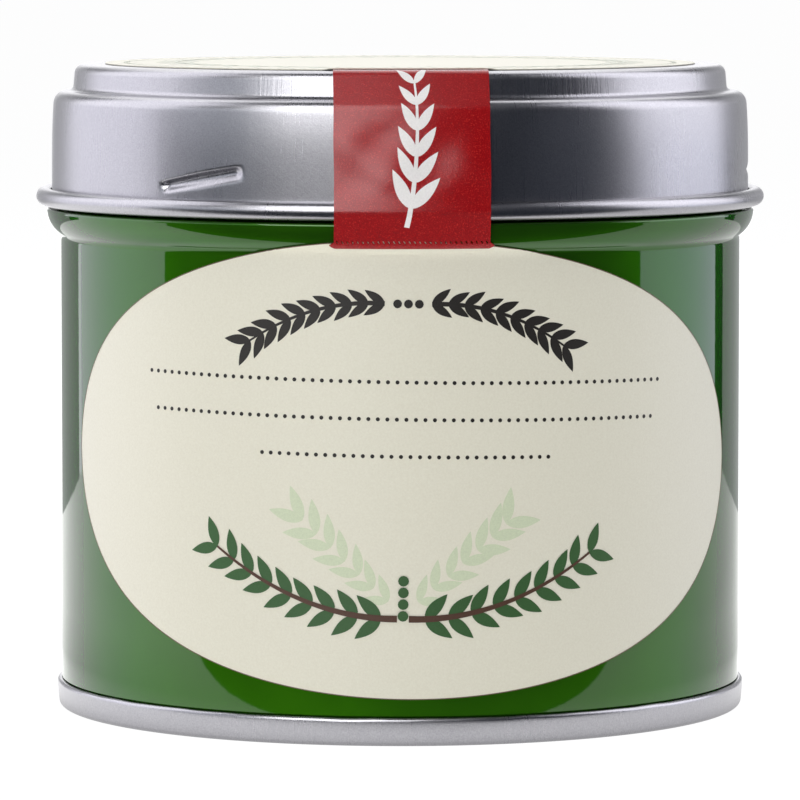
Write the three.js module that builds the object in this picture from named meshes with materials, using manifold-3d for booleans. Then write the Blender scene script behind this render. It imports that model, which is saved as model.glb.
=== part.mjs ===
// Round spice tin: a seamed tinplate body, a screw-on lid with a stepped top, two paper labels and a
// tear-off seal strip. Millimetres, +Z up. The origin is the middle of the foot, and the labels face -Y.
import * as THREE from "three";
import { mergeVertices } from "three/addons/utils/BufferGeometryUtils.js";
import Module from "manifold-3d";

const wasm = await Module();
wasm.setup();

// Driving dimensions
const TIN_HEIGHT = 69; // floor to the face of the top label
const WALL_RADIUS = 36.5; // outside of the plain wall, a standard 73 mm can
const SHEET = 0.22; // tinplate
const SEGMENTS = 32; // facets round the axis

// Paper and film
const PAPER = 0.1; // labels and seal strip
const GLUE = 0.05; // gap kept under each glued layer
const STACK = GLUE + PAPER; // one glued layer

// Bottom seam: five layers of sheet, folded together
const SEAM_RADIUS = 36.94;
const SEAM_HEIGHT = 2.92;
const SEAM_GAP = 0.06; // between neighbouring layers
const SEAM_PITCH = SHEET + SEAM_GAP;
const SEAM_CORNER = 0.3; // bend of the sheet's middle at the foot
const BODY_FOLD = 0.75; // height at which the body's edge begins to turn up
const BODY_HOOK_TOP = 2.37;
const END_HOOK_FOOT = 1.0;
const NECK_IN = 0.6; // height over which the wall widens above the seam

// Bottom panel, with a groove round it
const FLOOR_RECESS = 3.61; // foot to the underside of the panel
const GROOVE = { rise: 0.7, width: 2.5, slope: 0.8, bend: 0.8 };

// Body: bead under the lid, neck inside it and rolled rim
const BEAD = { r: 34.4, z: 53.4, radius: 3.58 }; // outer arc of the bead
const BEAD_FOOT = 0.8; // hollow fillet between wall and bead
const BEAD_CROWN = 0.35; // tight turn over the bead's top
const BEAD_WIDEST = BEAD.r + BEAD.radius;
const BEAD_TOP = 53.55;
const NECK_RADIUS = 36.35;
const NECK_FOOT = 0.4;
const RIM_TOP = 65.3;
const RIM_ROLL = 0.55;

// Lid
const PANEL_TOP = TIN_HEIGHT - 2 * STACK; // the strip's end and the label lie on the panel
const PANEL_EDGE = { r: 33.1, radius: 1.9 };
const RISER_LEAN = THREE.MathUtils.degToRad(8);
const LEDGE_TOP = 65.8;
const LEDGE_FILLET = { r: 35.85, radius: 0.8 };
const SHOULDER = { r: 36.3, radius: 1.0 };
const SKIRT_FOOT_RADIUS = 37.5;
const CURL = { radius: 0.95, z: 54.73 };
const CURL_CENTRE = SKIRT_FOOT_RADIUS - SHEET + CURL.radius;

// Screw lugs pressed into the lid, and the ridges on the neck that they run under
const LUG_COUNT = 3;
const LUG = { angle: -35.2, height: 57.57, length: 10.5, width: 1.9, depth: 0.6 };
const LUG_SLOPE = THREE.MathUtils.degToRad(9.7);
const RIDGE_ABOVE_LUG = 2.4;
const RIDGE_DEPTH = 0.5;

// Labels and seal strip
const OVAL = { halfWidth: 42.8, halfHeight: 23.5, z: 28.3 };
const TOP_LABEL_RADIUS = 32.3;
const STRIP_WIDTH = 16;
const STRIP_START = 26; // distance from the axis of the end under the top label
const STRIP_FOOT = 50.95; // height of the lower end

// Finishes
const TINPLATE = { color: 0xc4c4cc, roughness: 0.35, metalness: 1 };
const GREEN_LACQUER = { color: 0x1e5205, roughness: 0.12, metalness: 0 };
const CREAM_PAPER = { color: 0xe0dccb, roughness: 0.55, metalness: 0 };
const RED_FILM = { color: 0xb01018, roughness: 0.35, metalness: 0 };

/** Points of a round stretch in the (radius, height) plane. Angles are in degrees, 0 pointing outwards. */
function arc(r, z, radius, from, to, steps) {
  return Array.from({ length: steps + 1 }, (_, i) => {
    const angle = THREE.MathUtils.degToRad(from + ((to - from) * i) / steps);
    return new THREE.Vector2(r + radius * Math.cos(angle), z + radius * Math.sin(angle));
  });
}

const at = (r, z) => new THREE.Vector2(r, z);

/** The line of points moved sideways by a distance, to the left of its direction, with mitred corners. */
function offset(line, distance) {
  const left = (a, b) => new THREE.Vector2(a.y - b.y, b.x - a.x).normalize();
  return line.map((point, i) => {
    const before = left(line[Math.max(i - 1, 0)], line[Math.max(i, 1)]);
    const after = left(line[Math.min(i, line.length - 2)], line[Math.min(i + 1, line.length - 1)]);
    const mitre = before.clone().add(after).normalize();
    return point.clone().addScaledVector(mitre, distance / mitre.dot(after));
  });
}

/** Closed outline of a sheet of tinplate whose middle follows a line. An end on the axis stays on it. */
function sheetOutline(middle) {
  const outside = offset(middle, SHEET / 2);
  const inside = offset(middle, -SHEET / 2).reverse();
  const onAxis = middle[0].x === 0;
  return onAxis ? [...outside, ...inside] : [...outside, ...inside, outside[0].clone()];
}

/** Turns an outline round the Z axis, with the seam of the turned surface at the front. */
function turned(outline) {
  return new THREE.LatheGeometry(outline, SEGMENTS).rotateX(Math.PI / 2);
}

/** A point at a distance from the axis, an angle from the front (to the right, in radians) and a height. */
function onTin(r, angle, z) {
  return new THREE.Vector3(r * Math.sin(angle), -r * Math.cos(angle), z);
}

/** A geometry drawn flat, with x along the arc, y up and z outwards, bent round the axis. */
function wrapped(flat, radius, angle) {
  const position = flat.getAttribute("position");
  for (let i = 0; i < position.count; i++) {
    const x = position.getX(i);
    const point = onTin(radius + position.getZ(i), angle + x / radius, position.getY(i));
    position.setXYZ(i, point.x, point.y, point.z);
  }
  return flat;
}

/** A geometry as a solid that can be joined and cut. */
function solid(geometry) {
  const bare = geometry.clone();
  bare.deleteAttribute("normal");
  bare.deleteAttribute("uv");
  const merged = mergeVertices(bare, 1e-4);
  return new wasm.Manifold(
    new wasm.Mesh({
      numProp: 3,
      vertProperties: merged.getAttribute("position").array,
      triVerts: new Uint32Array(merged.index.array),
    }),
  );
}

/** A solid back as a geometry. */
function geometryOf(body) {
  const mesh = body.getMesh();
  return new THREE.BufferGeometry()
    .setAttribute("position", new THREE.BufferAttribute(mesh.vertProperties, 3))
    .setIndex(new THREE.BufferAttribute(mesh.triVerts, 1));
}

/** A closed sheet between two grids of points, each a list of rows of equal length. */
function slab(back, front) {
  const rows = back.length;
  const columns = back[0].length;
  const end = rows - 1;
  const edge = columns - 1;
  const points = [...back.flat(), ...front.flat()];
  const index = (side, i, j) => side * rows * columns + i * columns + j;
  const faces = [];
  const quad = (a, b, c, d) => faces.push(a, b, c, a, c, d);
  for (let i = 0; i < end; i++) {
    for (let j = 0; j < edge; j++) {
      quad(index(1, i, j), index(1, i, j + 1), index(1, i + 1, j + 1), index(1, i + 1, j));
      quad(index(0, i, j), index(0, i + 1, j), index(0, i + 1, j + 1), index(0, i, j + 1));
    }
    quad(index(0, i, 0), index(1, i, 0), index(1, i + 1, 0), index(0, i + 1, 0));
    quad(index(1, i, edge), index(0, i, edge), index(0, i + 1, edge), index(1, i + 1, edge));
  }
  for (let j = 0; j < edge; j++) {
    quad(index(0, 0, j), index(0, 0, j + 1), index(1, 0, j + 1), index(1, 0, j));
    quad(index(1, end, j), index(1, end, j + 1), index(0, end, j + 1), index(0, end, j));
  }
  return new THREE.BufferGeometry().setFromPoints(points).setIndex(faces);
}

/** A slanted lug as pressed into sheet: a flattened capsule bent round the axis. */
function lug(radius, angle, height, length, width, depth) {
  const straight = new THREE.CapsuleGeometry(width / 2, length - width, 2, 8, 3);
  straight.rotateZ(Math.PI / 2).scale(1, 1, (2 * depth) / width);
  straight.rotateZ(LUG_SLOPE).translate(0, height, 0);
  return solid(wrapped(straight, radius, angle));
}

/** A turned sheet with lugs pressed through it, inwards or outwards, all the way round. */
function withLugs(sheet, radius, height, depth, inwards) {
  let body = solid(sheet);
  const skin = inwards ? radius - SHEET : radius;
  const hollow = inwards ? radius : radius - SHEET;
  for (let i = 0; i < LUG_COUNT; i++) {
    const angle = THREE.MathUtils.degToRad(LUG.angle + (360 / LUG_COUNT) * i);
    body = body.add(lug(skin, angle, height, LUG.length, LUG.width, depth));
    body = body.subtract(lug(hollow, angle, height, LUG.length - SHEET, LUG.width - SHEET, depth));
  }
  return geometryOf(body);
}

/** Angle in degrees of the line that touches two circles on their outer side. */
function tangentAngle(first, second) {
  const way = at(second.r - first.r, second.z - first.z);
  const turn = Math.acos((first.radius - second.radius) / way.length());
  return THREE.MathUtils.radToDeg(way.angle() + turn) - 360;
}

/** Outer line of the body from the bottom seam to the bead's widest point, from the bottom up. */
function wallLine() {
  const foot = BEAD.radius + BEAD_FOOT; // from the bead's centre to the foot fillet's centre
  const across = WALL_RADIUS + BEAD_FOOT - BEAD.r;
  const meet = THREE.MathUtils.radToDeg(Math.acos(across / foot));
  const footZ = BEAD.z - foot * Math.sin(THREE.MathUtils.degToRad(meet));
  return [
    at(WALL_RADIUS, SEAM_HEIGHT + NECK_IN),
    ...arc(WALL_RADIUS + BEAD_FOOT, footZ, BEAD_FOOT, 180, 180 - meet, 2),
    ...arc(BEAD.r, BEAD.z, BEAD.radius, -meet, -4, 4).slice(1),
  ];
}

/** Distance from the axis of the body's outside at a height below the bead's top. */
function wallRadius(z) {
  const line = wallLine();
  const above = line.findIndex((point) => point.y > z);
  const low = line[above - 1];
  const high = line[above];
  return THREE.MathUtils.mapLinear(z, low.y, high.y, low.x, high.x);
}

/** Body: hook inside the seam, wall, bead, neck with thread ridges, and rim rolled inwards. */
function bodyWall() {
  const inSeam = SEAM_RADIUS - SHEET / 2 - 3 * SEAM_PITCH;
  const hook = SEAM_RADIUS - SHEET / 2 - SEAM_PITCH;
  const fold = (inSeam + hook) / 2;
  const outside = [
    ...wallLine(),
    ...arc(BEAD_WIDEST - BEAD_CROWN, BEAD_TOP - BEAD_CROWN, BEAD_CROWN, 0, 90, 2),
    ...arc(NECK_RADIUS + NECK_FOOT, BEAD_TOP + NECK_FOOT, NECK_FOOT, 270, 180, 1),
    ...arc(NECK_RADIUS - RIM_ROLL, RIM_TOP - RIM_ROLL, RIM_ROLL, 0, 240, 5),
  ];
  const middle = [
    at(hook, BODY_HOOK_TOP),
    ...arc(fold, BODY_FOLD, hook - fold, 0, -180, 3),
    at(inSeam, SEAM_HEIGHT + SEAM_GAP),
    ...offset(outside, SHEET / 2),
  ];
  const sheet = turned(sheetOutline(middle).reverse());
  return withLugs(sheet, NECK_RADIUS, LUG.height + RIDGE_ABOVE_LUG, RIDGE_DEPTH, false);
}

/** Bottom: panel, groove, wall of the recess, and the outer fold of the seam with its hook. */
function bottomEnd() {
  const outer = SEAM_RADIUS - SHEET / 2;
  const inner = outer - 4 * SEAM_PITCH;
  const hook = outer - 2 * SEAM_PITCH;
  const fold = (outer + hook) / 2;
  const panel = FLOOR_RECESS + SHEET / 2;
  const groove = panel + GROOVE.rise;
  const middle = [
    at(0, panel),
    at(inner - GROOVE.width - GROOVE.slope, panel),
    at(inner - GROOVE.width, groove),
    ...arc(inner - GROOVE.bend, groove - GROOVE.bend, GROOVE.bend, 90, 0, 2),
    ...arc(inner + SEAM_CORNER, SHEET / 2 + SEAM_CORNER, SEAM_CORNER, 180, 270, 2),
    ...arc(outer - SEAM_CORNER, SHEET / 2 + SEAM_CORNER, SEAM_CORNER, 270, 360, 2),
    ...arc(fold, SEAM_HEIGHT - SHEET / 2 - (outer - fold), outer - fold, 0, 180, 3),
    at(hook, END_HOOK_FOOT),
  ];
  return turned(sheetOutline(middle).reverse());
}

/** Lid: panel, riser, ledge, shoulder, skirt with screw lugs, and outward curl. */
function screwLid() {
  const lean = THREE.MathUtils.radToDeg(RISER_LEAN);
  const outside = [
    at(0, PANEL_TOP),
    ...arc(PANEL_EDGE.r, PANEL_TOP - PANEL_EDGE.radius, PANEL_EDGE.radius, 90, lean, 3),
    ...arc(LEDGE_FILLET.r, LEDGE_TOP + LEDGE_FILLET.radius, LEDGE_FILLET.radius, 180 + lean, 270, 2),
    ...arc(SHOULDER.r, LEDGE_TOP - SHOULDER.radius, SHOULDER.radius, 90, 0, 3),
  ];
  const middle = [
    ...offset(outside, -SHEET / 2),
    ...arc(CURL_CENTRE, CURL.z, CURL.radius - SHEET / 2, 180, 490, 8),
  ];
  middle[0].x = 0;
  const sheet = turned(sheetOutline(middle).reverse());
  const skirtRadius = (SHOULDER.r + SHOULDER.radius + SKIRT_FOOT_RADIUS) / 2;
  return withLugs(sheet, skirtRadius, LUG.height, LUG.depth, true);
}

/** Oval label, laid on the body's outside. Its rows are close together where it runs up the bead's foot. */
function frontLabel() {
  const columns = 44;
  const rows = [-1, 0.9, 0.925, 0.95, 0.975, 1];
  const grid = (gap) =>
    rows.map((row) =>
      Array.from({ length: columns + 1 }, (_, j) => {
        const turn = Math.PI * (j / columns - 0.5);
        const z = OVAL.z + OVAL.halfHeight * row * Math.cos(turn);
        return onTin(wallRadius(z) + gap, (OVAL.halfWidth * Math.sin(turn)) / WALL_RADIUS, z);
      }),
    );
  return slab(grid(GLUE), grid(STACK));
}

/** Round label on the lid's panel. */
function topLabel() {
  const z = TIN_HEIGHT - PAPER / 2;
  return new THREE.CylinderGeometry(TOP_LABEL_RADIUS, TOP_LABEL_RADIUS, PAPER, SEGMENTS)
    .rotateX(Math.PI / 2)
    .translate(0, 0, z);
}

/** Seal strip: from under the top label, down the lid, taut over the curl, to the top of the front label. */
function sealStrip() {
  const clear = GLUE + PAPER / 2;
  const lean = THREE.MathUtils.radToDeg(RISER_LEAN);
  const shoulder = { r: SHOULDER.r, z: LEDGE_TOP - SHOULDER.radius, radius: SHOULDER.radius + clear };
  const curl = { r: CURL_CENTRE, z: CURL.z, radius: CURL.radius + clear };
  const bead = { r: BEAD.r, z: BEAD.z, radius: BEAD.radius + STACK + clear };
  const overSkirt = tangentAngle(shoulder, curl);
  const overBead = tangentAngle(curl, bead);
  const foot = -THREE.MathUtils.radToDeg(Math.asin((BEAD.z - STRIP_FOOT) / bead.radius));
  const middle = [
    at(STRIP_START, PANEL_TOP + clear),
    ...arc(PANEL_EDGE.r, PANEL_TOP - PANEL_EDGE.radius, PANEL_EDGE.radius + clear, 90, lean, 3),
    ...arc(LEDGE_FILLET.r, LEDGE_TOP + LEDGE_FILLET.radius, LEDGE_FILLET.radius - clear, 180 + lean, 270, 2),
    ...arc(shoulder.r, shoulder.z, shoulder.radius, 90, overSkirt, 3),
    ...arc(curl.r, curl.z, curl.radius, overSkirt, overBead, 3),
    ...arc(bead.r, bead.z, bead.radius, overBead, foot, 2),
  ];
  const columns = 6;
  const grid = (line) =>
    line.map((point) =>
      Array.from({ length: columns + 1 }, (_, j) =>
        onTin(point.x, ((j / columns - 0.5) * STRIP_WIDTH) / point.x, point.y),
      ),
    );
  return slab(grid(offset(middle, -PAPER / 2)).reverse(), grid(offset(middle, PAPER / 2)).reverse());
}

/** A named piece of the tin, with a material of its own. */
function piece(name, geometry, finish) {
  const mesh = new THREE.Mesh(geometry, new THREE.MeshStandardMaterial(finish));
  mesh.name = name;
  return mesh;
}

const tin = new THREE.Group();
tin.add(
  piece("body_wall", bodyWall(), GREEN_LACQUER),
  piece("bottom_end", bottomEnd(), TINPLATE),
  piece("screw_lid", screwLid(), TINPLATE),
  piece("front_label", frontLabel(), CREAM_PAPER),
  piece("top_label", topLabel(), CREAM_PAPER),
  piece("seal_strip", sealStrip(), RED_FILM),
);

export default tin;
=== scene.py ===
"""Round spice tin: lacquered body, bare tinplate lid and bottom, two paper labels and a tear-off seal strip.

Sizes are in millimetres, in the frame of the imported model: the origin is the middle of the foot, +Z is up and
the labels face -Y. Angles round the tin are counted from the front, positive to the right. Each mesh is
worked out in millimetres and stored in metres.
"""

import logging
import math
from dataclasses import dataclass, field
from enum import Enum
from typing import Any, Callable

import bmesh
import bpy
import numpy as np
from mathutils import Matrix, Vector


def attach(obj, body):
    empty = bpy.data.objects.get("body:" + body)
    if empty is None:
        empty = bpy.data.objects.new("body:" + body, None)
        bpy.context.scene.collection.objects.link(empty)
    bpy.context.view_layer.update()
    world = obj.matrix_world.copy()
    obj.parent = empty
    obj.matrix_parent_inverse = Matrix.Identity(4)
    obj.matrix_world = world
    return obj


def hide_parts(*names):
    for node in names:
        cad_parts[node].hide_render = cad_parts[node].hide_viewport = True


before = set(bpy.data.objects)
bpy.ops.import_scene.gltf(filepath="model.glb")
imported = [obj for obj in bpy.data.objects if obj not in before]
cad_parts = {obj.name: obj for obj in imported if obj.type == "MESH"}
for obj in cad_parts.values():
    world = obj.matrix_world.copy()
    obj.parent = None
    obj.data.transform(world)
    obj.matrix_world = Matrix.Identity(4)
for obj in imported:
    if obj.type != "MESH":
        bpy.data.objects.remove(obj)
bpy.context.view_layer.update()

LOG = logging.getLogger("spice_tin")
MM = 0.001
MERGE = 2e-7  # metres: points closer than this are one
SHARP = math.radians(30)  # edges that turn by more than this stay crisp

Line = np.ndarray  # points of a profile, each a distance from the axis and a height
Spot = tuple[float, float]  # a point of a flat drawing, across and along
Pairs = tuple[tuple[float, float], ...]
Place = Callable[[np.ndarray, np.ndarray, np.ndarray], np.ndarray]  # across, along, lift to a point


def linear(colour: str) -> tuple[float, float, float, float]:
    """Turns an sRGB hex colour into linear light.

    Args:
        colour: Six hex digits after a hash.

    Returns:
        Linear red, green and blue, and an alpha of 1.
    """
    parts = [int(colour[start : start + 2], 16) / 255 for start in (1, 3, 5)]
    red, green, blue = (p / 12.92 if p <= 0.04045 else ((p + 0.055) / 1.055) ** 2.4 for p in parts)
    return red, green, blue, 1.0


def add(
    tree: bpy.types.NodeTree, kind: str, inputs: dict[Any, Any] | None = None, **settings: Any
) -> bpy.types.Node:
    """Adds a node to a tree.

    Args:
        tree: Material or geometry node tree.
        kind: Blender's name of the node type.
        inputs: Socket name or number to a value, or to an output socket that is linked to it.
        settings: Properties of the node itself.

    Returns:
        The new node.
    """
    node = tree.nodes.new(kind)
    for name, value in settings.items():
        setattr(node, name, value)
    for key, value in (inputs or {}).items():
        if isinstance(value, bpy.types.NodeSocket):
            tree.links.new(value, node.inputs[key])
        else:
            node.inputs[key].default_value = value
    return node


def arc(r: float, z: float, radius: float, start: float, stop: float, step: float = 7.0) -> Line:
    """Points of a round stretch of a profile.

    Args:
        r: Distance of its centre from the axis.
        z: Height of its centre.
        radius: Its radius.
        start: First angle in degrees, where 0 points outwards and 90 up.
        stop: Last angle.
        step: Largest angle between two points.

    Returns:
        The points, one a row.
    """
    count = max(2, math.ceil(abs(stop - start) / step))
    turn = np.radians(np.linspace(start, stop, count + 1))
    return np.column_stack((r + radius * np.cos(turn), z + radius * np.sin(turn)))


def offset(line: Line, distance: float) -> Line:
    """Moves a profile sideways, with mitred corners.

    Args:
        line: The profile.
        distance: How far, to the left of its direction.

    Returns:
        The moved profile.
    """
    way = np.diff(line, axis=0)
    left = np.column_stack((-way[:, 1], way[:, 0])) / np.linalg.norm(way, axis=1)[:, None]
    before = np.vstack((left[:1], left))
    after = np.vstack((left, left[-1:]))
    mitre = before + after
    mitre /= np.linalg.norm(mitre, axis=1)[:, None]
    return line + mitre * (distance / np.sum(mitre * after, axis=1))[:, None]


def graded(line: Line, low: float, high: float, step: float) -> Line:
    """Adds points to a profile where it crosses a band of heights.

    Args:
        line: The profile.
        low: Bottom of the band.
        high: Top of the band.
        step: Largest distance between points inside the band.

    Returns:
        The profile with the added points.
    """
    out = [line[0]]
    for first, last in zip(line[:-1], line[1:]):
        bottom, top = sorted((first[1], last[1]))
        inside = min(top, high) - max(bottom, low)
        if inside > step:
            heights = np.linspace(max(bottom, low), min(top, high), math.ceil(inside / step) + 1)
            shares = np.sort((heights - first[1]) / (last[1] - first[1]))
            out += [first + (last - first) * share for share in shares if 1e-6 < share < 1 - 1e-6]
        out.append(last)
    return np.array(out)


def smooth(value: np.ndarray) -> np.ndarray:
    """Eases from 0 at 0 to 1 at 1."""
    value = np.clip(value, 0, 1)
    return value * value * (3 - 2 * value)


def ripple(angle: np.ndarray, waves: tuple[int, ...], phase: float) -> np.ndarray:
    """Sum of waves round the tin, between about -1 and 1."""
    return sum(np.sin(count * angle + phase * count * count) for count in waves) / len(waves)


def mend(mesh: bpy.types.Mesh) -> None:
    """Joins points that coincide, closes poles, turns faces outwards and shades the curves smooth."""
    work = bmesh.new()
    work.from_mesh(mesh)
    bmesh.ops.remove_doubles(work, verts=work.verts, dist=MERGE)
    bmesh.ops.recalc_face_normals(work, faces=work.faces)
    work.to_mesh(mesh)
    work.free()
    mesh.shade_smooth()
    mesh.set_sharp_from_angle(angle=SHARP)


def new_piece(
    name: str,
    points: np.ndarray,
    faces: np.ndarray,
    skins: np.ndarray | None = None,
    wrap: np.ndarray | None = None,
) -> bpy.types.Object:
    """Makes a closed mesh object.

    Args:
        name: Name of the object and its mesh.
        points: One point a row, in millimetres.
        faces: Four point numbers a row.
        skins: Material slot of each face.
        wrap: UV of each corner of each face, in millimetres along the surface.

    Returns:
        The object, linked to the scene.
    """
    mesh = bpy.data.meshes.new(name)
    mesh.from_pydata((points * MM).tolist(), [], faces.tolist())
    if wrap is not None:
        mesh.uv_layers.new(name="wrap").data.foreach_set("uv", wrap.ravel())
    if skins is not None:
        mesh.polygons.foreach_set("material_index", skins.astype(np.int32))
    mend(mesh)
    piece = bpy.data.objects.new(name, mesh)
    bpy.context.scene.collection.objects.link(piece)
    return piece


def around(angle: np.ndarray, r: np.ndarray, z: np.ndarray) -> np.ndarray:
    """Points at angles from the front, distances from the axis and heights."""
    return np.stack(np.broadcast_arrays(r * np.sin(angle), -r * np.cos(angle), z), axis=-1)


def turned(name: str, outline: Line, angles: np.ndarray, skins: np.ndarray | None = None) -> bpy.types.Object:
    """Turns a closed outline round the axis.

    Args:
        name: Name of the new object.
        outline: Profile that ends where it starts, or with both ends on the axis.
        angles: Angles of the mesh's meridians in radians, rising, less than a full turn in all.
        skins: Material slot of each stretch of the outline.

    Returns:
        The turned piece, with a UV map in millimetres round and along the outline.
    """
    rows, turns = len(outline), len(angles)
    points = around(angles[None, :], outline[:, :1], outline[:, 1:]).reshape(-1, 3)
    row, column = np.meshgrid(np.arange(rows - 1), np.arange(turns), indexing="ij")
    ahead = (column + 1) % turns
    here, above = row * turns, (row + 1) * turns
    faces = np.stack((here + column, here + ahead, above + ahead, above + column), axis=-1)
    along = np.concatenate(([0.0], np.cumsum(np.linalg.norm(np.diff(outline, axis=0), axis=1))))
    across = np.append(angles, angles[0] + 2 * math.pi) * outline[:, 0].max()
    corners = [
        np.stack((across[column + right], along[row + up]), axis=-1)
        for right, up in ((0, 0), (1, 0), (1, 1), (0, 1))
    ]
    skin = None if skins is None else np.repeat(skins, turns)
    return new_piece(name, points, faces.reshape(-1, 4), skin, np.stack(corners, axis=2))


def slab(
    name: str, front: np.ndarray, back: np.ndarray, rim: int = 0, edges: str = "foot head left right"
) -> bpy.types.Object:
    """Closes two grids of points into a thin sheet.

    Args:
        name: Name of the new object.
        front: Rows of columns of points.
        back: The same grid on the other face.
        rim: Material slot of the cut edges.
        edges: Edges of the grid that are cut edges: first and last row, first and last column.

    Returns:
        The sheet.
    """
    rows, columns = front.shape[:2]
    number = np.arange(2 * rows * columns).reshape(2, rows, columns)
    faces = []
    for side in number:
        quad = np.stack((side[:-1, :-1], side[:-1, 1:], side[1:, 1:], side[1:, :-1]), axis=-1)
        faces.append(quad.reshape(-1, 4))
    skins = np.zeros(sum(len(part) for part in faces))
    borders = {
        "foot": number[:, 0], "head": number[:, -1], "left": number[:, :, 0], "right": number[:, :, -1],
    }
    for edge in (borders[name] for name in edges.split()):
        faces.append(np.stack((edge[0, :-1], edge[0, 1:], edge[1, 1:], edge[1, :-1]), axis=-1))
    quads = np.vstack(faces)
    skins = np.append(skins, np.full(len(quads) - len(skins), rim))
    return new_piece(name, np.concatenate((front.reshape(-1, 3), back.reshape(-1, 3))), quads, skins)


def oval(
    name: str, place: Place, half: tuple[float, float], lift: float, thick: float, rings: int, spokes: int
) -> bpy.types.Object:
    """Makes an oval sheet that lies on a surface.

    Args:
        name: Name of the new object.
        place: Maps points of the flat oval to the surface.
        half: Half its width and half its height.
        lift: Gap under it.
        thick: Its thickness.
        rings: Steps from the middle to the edge.
        spokes: Steps round it.

    Returns:
        The sheet.
    """
    reach = np.linspace(0, 1, rings + 1)[:, None]
    turn = np.linspace(0, 2 * math.pi, spokes + 1)[None, :]
    across, along = half[0] * reach * np.cos(turn), half[1] * reach * np.sin(turn)
    faces = [place(across, along, np.full_like(across, height)) for height in (lift + thick, lift)]
    return slab(name, faces[0], faces[1], edges="head")


def flat(across: np.ndarray, along: np.ndarray, lift: np.ndarray) -> np.ndarray:
    """Leaves a drawing flat: across is x, along is y and lift is z."""
    return np.stack(np.broadcast_arrays(across, along, lift), axis=-1)


def plain(piece: bpy.types.Object) -> bpy.types.Object:
    """Turns a piece with modifiers into a plain mesh.

    Args:
        piece: Object with its modifiers set up.

    Returns:
        The same object with the evaluated mesh and no modifier.
    """
    graph = bpy.context.evaluated_depsgraph_get()
    made = piece.evaluated_get(graph)
    mesh = bpy.data.meshes.new_from_object(made, preserve_all_data_layers=True, depsgraph=graph)
    piece.modifiers.clear()
    old, piece.data = piece.data, mesh
    bpy.data.meshes.remove(old)
    mesh.name = piece.name
    return piece


def drape(
    piece: bpy.types.Object, place: Place, lift: float, bends: np.ndarray | None = None
) -> bpy.types.Object:
    """Lays a flat drawing on a surface.

    Args:
        piece: Mesh drawn flat, with x across, y along and z the thickness of the ink.
        place: Maps the drawing to the surface.
        lift: Gap between the surface and the drawing's back.
        bends: Distances along the surface at which it bends, where the drawing's faces are split.

    Returns:
        The same object, on the surface.
    """
    if bends is not None:
        work = bmesh.new()
        work.from_mesh(piece.data)
        for bend in bends:
            everything = [*work.verts, *work.edges, *work.faces]
            point = (0, bend * MM, 0)
            bmesh.ops.bisect_plane(work, geom=everything, plane_co=point, plane_no=(0, 1, 0), dist=1e-8)
        work.to_mesh(piece.data)
        work.free()
    points = np.empty(len(piece.data.vertices) * 3)
    piece.data.vertices.foreach_get("co", points)
    across, along, height = points.reshape(-1, 3).T / MM
    piece.data.vertices.foreach_set("co", (place(across, along, height + lift) * MM).ravel())
    piece.data.update()
    return piece


def settle(piece: bpy.types.Object, slot: str, finishes: list[bpy.types.Material], node: str = "") -> None:
    """Dresses a finished piece and ties it to the frame.

    Args:
        piece: The finished mesh object.
        slot: Material slot of the record.
        finishes: Materials in the order of the mesh's slots.
        node: CAD node that the piece stands for, if any.
    """
    skins = np.zeros(len(piece.data.polygons), dtype=np.int32)
    piece.data.polygons.foreach_get("material_index", skins)
    piece.data.materials.clear()
    for finish in finishes:
        piece.data.materials.append(finish)
    piece.data.polygons.foreach_set("material_index", np.minimum(skins, len(finishes) - 1))
    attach(piece, "root")
    if node:
        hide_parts(node)
    LOG.info("%s: %d faces, slot %s", piece.name, len(piece.data.polygons), slot)


def shader_of(name: str, **sockets: Any) -> tuple[bpy.types.Material, bpy.types.NodeTree, bpy.types.Node]:
    """Starts a material.

    Args:
        name: Name of the material.
        sockets: Values of the shader's sockets, with underscores for spaces.

    Returns:
        The material, its node tree and its shader node.
    """
    material = bpy.data.materials.new(name)
    material.use_nodes = True
    shader = material.node_tree.nodes["Principled BSDF"]
    for key, value in sockets.items():
        shader.inputs[key.replace("_", " ")].default_value = value
    return material, material.node_tree, shader


def per_metre(size: float) -> float:
    """Texture scale on Object coordinates that gives features of a size in millimetres."""
    return 1 / (size * MM)


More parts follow.
